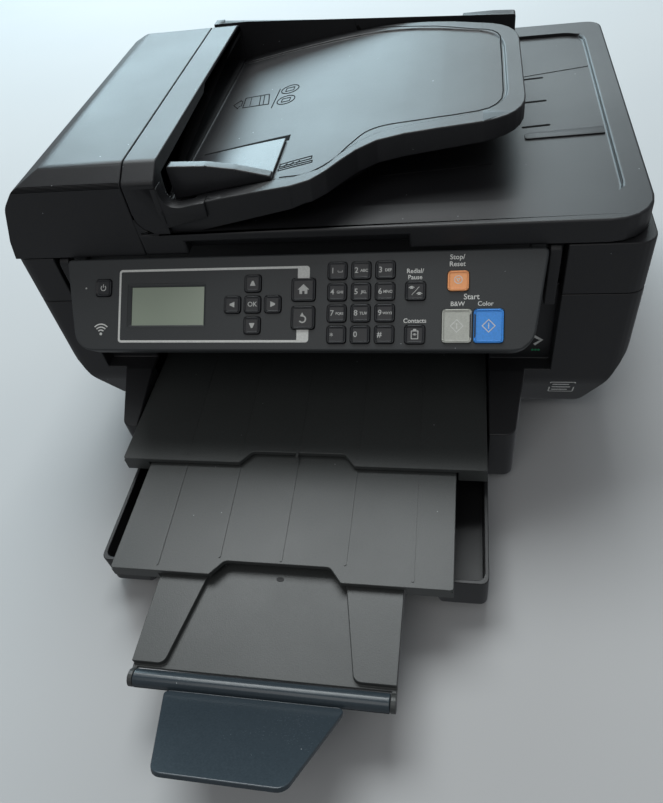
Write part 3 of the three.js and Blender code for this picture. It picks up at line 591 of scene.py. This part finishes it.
# Painted shade: a thin near-black line along the bed's groove, and a near-black band in the
# guide's slot.
laid_sign_and_shade("bed_groove_shade", [strip_outline([
    (8, 231), (40, 223), (75, 210), (103.3, 195.1), (113, 191), (117.2, 187.9), (120.6, 182.5),
    (122.4, 176), (122.6, 130), (122.3, 87.4), (121.2, 77), (117.9, 70), (113.2, 65),
    (106.2, 62.2), (90, 59.6), (72.2, 58.0), (50.8, 56.5), (44.5, 55.2), (40.2, 53.2),
    (35.8, 49.8), (32.8, 45.7), (25.8, 33.5), (20.1, 20.7), (17.8, 16), (14.7, 12),
    (11.2, 9), (7.3, 7.4), (0, 6.8), (-13.6, 8.1)], 0.8)], step=0.003)
laid_sign_and_shade("guide_slot_shade", [strip_outline([
    (-80, 59), (-60, 59), (-40, 59.5), (-16.5, 60.5)], 7.5)], step=0.003)

# ---- Control panel ---------------------------------------------------------------------------
# A grey-black plate that tilts on two pins, with a sunk display in a sloping surround and a
# printed white frame, words and signs.

panel_tilt = math.radians(40)  # the plate's slope from level
panel_length = 62.5
panel_outwards = Vector((0, -math.sin(panel_tilt), math.cos(panel_tilt)))
panel_top = Vector((0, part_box("control_panel")[0].y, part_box("control_panel")[1].z))
panel_top.y += panel_length * MM * math.cos(panel_tilt)
panel_plane = Matrix.Translation(panel_top) @ Matrix.Rotation(panel_tilt, 4, "X")
panel_down = Vector((0, -math.cos(panel_tilt), -math.sin(panel_tilt)))


def on_panel(height=0.0):
    """The panel's face as a drawing plane: x as the printer's, y up the face, in metres."""
    return panel_plane @ Matrix.Translation((0, 0, height * MM))


def is_rim(point):
    """The plate's outer edges, away from the wells of the keys and the display."""
    down = (point - panel_top).dot(panel_down) / MM
    return down < 4 or down > 59 or point.x < -0.1525 or point.x > 0.130


panel_plastic = grained_plastic("panel_plastic", (0.034, 0.037, 0.039), 0.5, grain=2400,
                                depth=0.00003)
moulding("control_panel", "panel", panel_plastic, edge=0.0012, steps=3,
         only=is_rim)
white_print = grained_plastic("white_print", (0.68, 0.68, 0.65), 0.5, depth=0.00001, dust=0.0)
bright_print = grained_plastic("pale_print", (0.5, 0.5, 0.48), 0.5, depth=0.00001, dust=0.0)


def lettering(name, lines, thickness=0.00007, bold=0.00005):
    """Words as thin plates: (text, size, x, y) in millimetres, each centred on its place."""
    pieces = []
    for text, size, x, y in lines:
        letters = bpy.data.curves.new(name, "FONT")
        letters.body, letters.size = text, size * MM
        letters.align_x, letters.align_y = "CENTER", "CENTER"
        letters.offset, letters.extrude = bold, thickness / 2
        letters.resolution_u = 3
        piece = bpy.data.objects.new(name, letters)
        bpy.context.collection.objects.link(piece)
        pieces.append(made_solid(piece, thickness, Matrix.Translation((x * MM, y * MM, 0))))
    return joined(pieces)


def joined(pieces):
    """Joins several meshes into the first."""
    bpy.ops.object.select_all(action="DESELECT")
    for piece in pieces:
        piece.select_set(True)
    bpy.context.view_layer.objects.active = pieces[0]
    if len(pieces) > 1:
        bpy.ops.object.join()
    return bpy.context.object


def printed(name, body, material, outlines, words, height):
    """A print of outlines and words that lies on the panel, or on a key's top."""
    parts = []
    if outlines:
        parts.append(flat_piece(name, outlines, 0.00007))
    if words:
        parts.append(lettering(name, words))
    piece = joined(parts)
    piece.data.transform(on_panel(height))
    piece.name = name
    return fitted(piece, body, material)


white_frame = loft_outline([
    (-128.7, -8.0, 2.2), (3.0, -8.0, 2.0), (3.0, -16, 0), (-4.8, -16, 0), (-4.8, -9.5, 0),
    (-127.3, -9.5, 1.0), (-127.3, -55.6, 1.0), (-4.8, -55.6, 0), (-4.8, -49, 0), (3.0, -49, 0),
    (3.0, -57.1, 2.0), (-128.7, -57.1, 2.2)])
wireless = [circle_outline(-141.4, -51.2, 0.95)] + [
    arc_outline(-141.4, -51.2, radius, 0.85, 45, 90) for radius in (2.6, 4.6, 6.6)]
printed("panel_print", "panel", white_print, [white_frame, *wireless], [
    ("Stop/", 4.3, 95.6, -4.7), ("Reset", 4.3, 95.6, -9.0), ("Redial/", 3.9, 70.0, -12.8),
    ("Pause", 3.9, 70.0, -16.7), ("Contacts", 3.9, 70.3, -43.8), ("Start", 4.9, 104.4, -29.3),
    ("B&W", 3.9, 96.1, -33.6), ("Color", 3.9, 112.8, -33.6)], 0.0)
lamp = flat_piece("power_lamp", [circle_outline(-153.2, -20, 0.6)], 0.0002, on_panel(-0.1))
fitted(lamp, "panel", bright_print)

# The surround slopes from the plate down to the display's edges.
display_x, display_y = -94.6, -32.5
surround = flat_piece("display_surround", frame_outlines([
    (-122.4, -47.3, 0.8), (-66.8, -47.3, 0.8), (-66.8, -17.7, 0.8), (-122.4, -17.7, 0.8)], 2.4),
    0.0022, Matrix.Identity(4))
for point in surround.data.vertices:
    inner = abs(point.co.x / MM - display_x) < 26 and abs(point.co.y / MM - display_y) < 12.9
    if inner and point.co.z > 0.001:
        point.co.z = 0.0009
surround.data.transform(on_panel(-2.35))
fitted(surround, "panel", panel_plastic)
display = Finish("display_window", Roughness=0.16, Coat_Weight=0.2)
shade = display.noise(24.0, 1.0)
moulding("lcd_window", "panel", display.finish(
    Base_Color=display.blend(shade, (0.33, 0.38, 0.30), (0.38, 0.43, 0.34))), edge=0)

# ---- Keys ------------------------------------------------------------------------------------
# Each key is a moulded cap with a dished top, and presses into its own well in the plate. Its
# legend is printed on the top and travels with it. Two black half slots part the start keys.

key_plastics = {
    "key_orange": grained_plastic("orange_key", (1.0, 0.42, 0.17), 0.42, dust=0.0),
    "key_grey": grained_plastic("light_grey_key", (0.5, 0.505, 0.455), 0.5, dust=0.0),
    "key_blue": grained_plastic("blue_key", (0.055, 0.31, 0.85), 0.38, dust=0.0),
    "key_black": grained_plastic("black_key", (0.014, 0.015, 0.018), 0.4, dust=0.0),
}
key_slots = {row["node"]: row["material_slot"] for row in frame["record"]["subparts"]}
stand = 1.2
key_dish = 0.0003
for key in [node for node in frame["nodes"] if node.startswith("key_")]:
    moulding(key, key, key_plastics[key_slots[key]], edge=0.0005, steps=3,
             dish=key_dish)


def key_middle(key):
    """A key's centre on the panel, in the panel's millimetres."""
    low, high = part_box(key)
    middle = (low + high) / 2 - panel_top
    return middle.x / MM, -middle.dot(panel_down) / MM


def moved(outlines, x, y):
    return [[(p[0] + x, p[1] + y) for p in outline] for outline in outlines]


letters_on = {"1": "", "2": "ABC", "3": "DEF", "4": "GHI", "5": "JKL", "6": "MNO",
              "7": "PQRS", "8": "TUV", "9": "WXYZ", "0": "", "star": "", "hash": ""}
digits = {"star": "*", "hash": "#"}
for label, letters in letters_on.items():
    x, y = key_middle(f"key_{label}")
    words = [(digits.get(label, label), 5.0, x - 3.0, y + (-1.0 if label == "star" else 0.0))]
    outlines = []
    if letters:
        words.append((letters, 2.5 if len(letters) < 4 else 2.1, x + 1.9, y - 0.2))
    if label == "1":
        outlines = moved([bar_outline((0.4, -0.9), (3.2, -0.9), 0.4),
                          bar_outline((0.4, -0.9), (0.4, 0), 0.4),
                          bar_outline((3.2, -0.9), (3.2, 0), 0.4)], x, y)
    printed(f"legend_{label}", f"key_{label}", bright_print, outlines, words,
            stand - key_dish / MM)

arrow = [loft_outline([(-1.9, -1.5, 0.2), (1.9, -1.5, 0.2), (0.5, 1.7, 0.2), (-0.5, 1.7, 0.2)])]
turns = {"up": 0, "left": 90, "down": 180, "right": 270}
handset = [arc_outline(0, -1.2, 2.6, 1.1, 25, 130, 8), circle_outline(-2.2, -0.1, 0.95),
           circle_outline(2.2, -0.1, 0.95)]
diamond = frame_outlines([(0, -4.2, 0), (4.2, 0, 0), (0, 4.2, 0), (-4.2, 0, 0)], 0.55)
signs_on = {
    "power": [arc_outline(0, -0.2, 1.75, 0.6, 130, 280), bar_outline((0, 0.3), (0, 2.1), 0.6)],
    "home": [loft_outline([
        (-2.6, -2.8, 0), (-0.8, -2.8, 0), (-0.8, -0.9, 0), (0.8, -0.9, 0), (0.8, -2.8, 0),
        (2.6, -2.8, 0), (2.6, 0, 0), (3.8, 0, 0), (0, 3.5, 0), (-3.8, 0, 0), (-2.6, 0, 0)])],
    "back": [arc_outline(-0.3, -0.9, 2.1, 0.9, -150, 210, 14),
             loft_outline([(-0.4, 3.4, 0), (-1.9, 0.9, 0), (1.1, 0.5, 0)])],
    "redial": [bar_outline((-2.2, -2.4), (2.2, 2.4), 0.35),
               *moved([[(p[0] * 0.6, p[1] * 0.6) for p in o] for o in handset], -2.4, 1.9),
               *moved([[(p[0] * 0.6, p[1] * 0.6) for p in o] for o in handset], 2.4, -1.9)],
    "contacts": [*frame_outlines([(-2.3, -3, 0.5), (2.3, -3, 0.5), (2.3, 2.4, 0.5),
                                  (-2.3, 2.4, 0.5)], 0.55),
                 loft_outline([(-1, 2.2, 0), (1, 2.2, 0), (1, 3.4, 0.3), (-1, 3.4, 0.3)]),
                 *moved([[(p[0] * 0.42, p[1] * 0.42) for p in o] for o in handset], 0, -0.2)],
    "stop": [circle_outline(0, 0.6, 2.6), circle_outline(0, 0.6, 2.1),
             *frame_outlines([(0, -0.9, 0), (1.4, 1.5, 0), (-1.4, 1.5, 0)], 0.4)],
    "start_mono": [*diamond, bar_outline((0, -1.5), (0, 1.5), 0.6)],
    "start_colour": [*diamond, bar_outline((0, -1.5), (0, 1.5), 0.6)],
}
for way, turn in turns.items():
    spin = Matrix.Rotation(math.radians(turn), 2)
    signs_on[way] = [[spin @ Vector(p) for p in outline] for outline in arrow]
for label, outlines in signs_on.items():
    x, y = key_middle(f"key_{label}")
    start = label.startswith("start")
    printed(f"legend_{label}", f"key_{label}",
            white_print if start or label == "stop" else bright_print,
            moved(outlines, x, y), [], stand - key_dish / MM)
for key, side in (("key_start_mono", 1), ("key_start_colour", -1)):
    x, y = key_middle(key)
    low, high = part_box(key)
    inner_edge = (high.x if side > 0 else low.x) / MM - 0.35 * side
    grip = [(inner_edge, y - 7.4), (inner_edge - 0.5 * side, y - 7.2),
            (inner_edge - 0.9 * side, y - 6.4), (inner_edge - 0.9 * side, y + 6.4),
            (inner_edge - 0.5 * side, y + 7.2), (inner_edge, y + 7.4)]
    printed(f"grip_{key[4:]}", key, key_plastics["key_black"], [grip], [],
            stand - 0.02)
x, y = key_middle("key_ok")
printed("legend_ok", "key_ok", bright_print, [], [("OK", 4.4, x, y)],
        stand - key_dish / MM)

# ---- Paper trays -----------------------------------------------------------------------------
# Three trays draw out of each other, with low ribs that carry the sheets, and a polished flap
# at the end stops the paper.

tray_plastic = grained_plastic("tray_plastic", (0.045, 0.048, 0.047), 0.42, grain=1300,
                               dust=0.02)
for tray, body in (("output_tray", "tray_one"), ("tray_extension", "tray_two")):
    tray_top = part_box(tray)[1].z
    moulding(tray, body, tray_plastic, edge=0.0004,
             only=lambda p: p.z > tray_top - 0.0003)
moulding("tray_end", "tray_three", tray_plastic, edge=0.0004)
for tray, body, level, back, front, height in (
        ("output_tray", "tray_one", 52.4, 40, -88, 0.25),
        ("tray_extension", "tray_two", 47.45, -60, -174, 0.45)):
    for rib, (x_back, x_front) in enumerate(
            ((-93, -90), (-53.2, -49.7), (-12, -9.3), (30, 31.4), (71.6, 73.2))):
        lean = (x_front - x_back) / 80
        low = -166 if body == "tray_two" and rib in (1, 2, 3) else front
        ends = ((x_back + lean * (-97 - back), back), (x_back + lean * (-97 - low), low))
        bar = flat_piece(f"{tray}_rib_{rib + 1}", [bar_outline(*ends, 1.7)], height * MM,
                         Matrix.Translation((0, 0, (level - 0.02) * MM)))
        fitted(bar, body, tray_plastic)
# Painted shade: a flat dark oval on the last tray where its dimple lies in shade.
dimple_shade = flat_piece("tray_dimple_shade", [
    [(p[0] * 1.6 - 10, p[1] - 174.6) for p in circle_outline(0, 0, 1.5)]], 0.0004,
    Matrix.Translation((0, 0, 0.0388)))
fitted(dimple_shade, "tray_three", dark_plastic)
flap_plastic = grained_plastic("polished_flap", (0.03, 0.042, 0.052), 0.24, depth=0.00001)
moulding("paper_stop", "stop_flap", flap_plastic, edge=0.0006, steps=3)

# ---- Paper cassette --------------------------------------------------------------------------
# The blank paper lies in a deep black drawer between two sliding guides.

moulding("paper_cassette", "cassette", case_plastic)
for side in ("left", "right"):
    moulding(f"cassette_guide_{side}", f"guide_{side}", case_plastic)
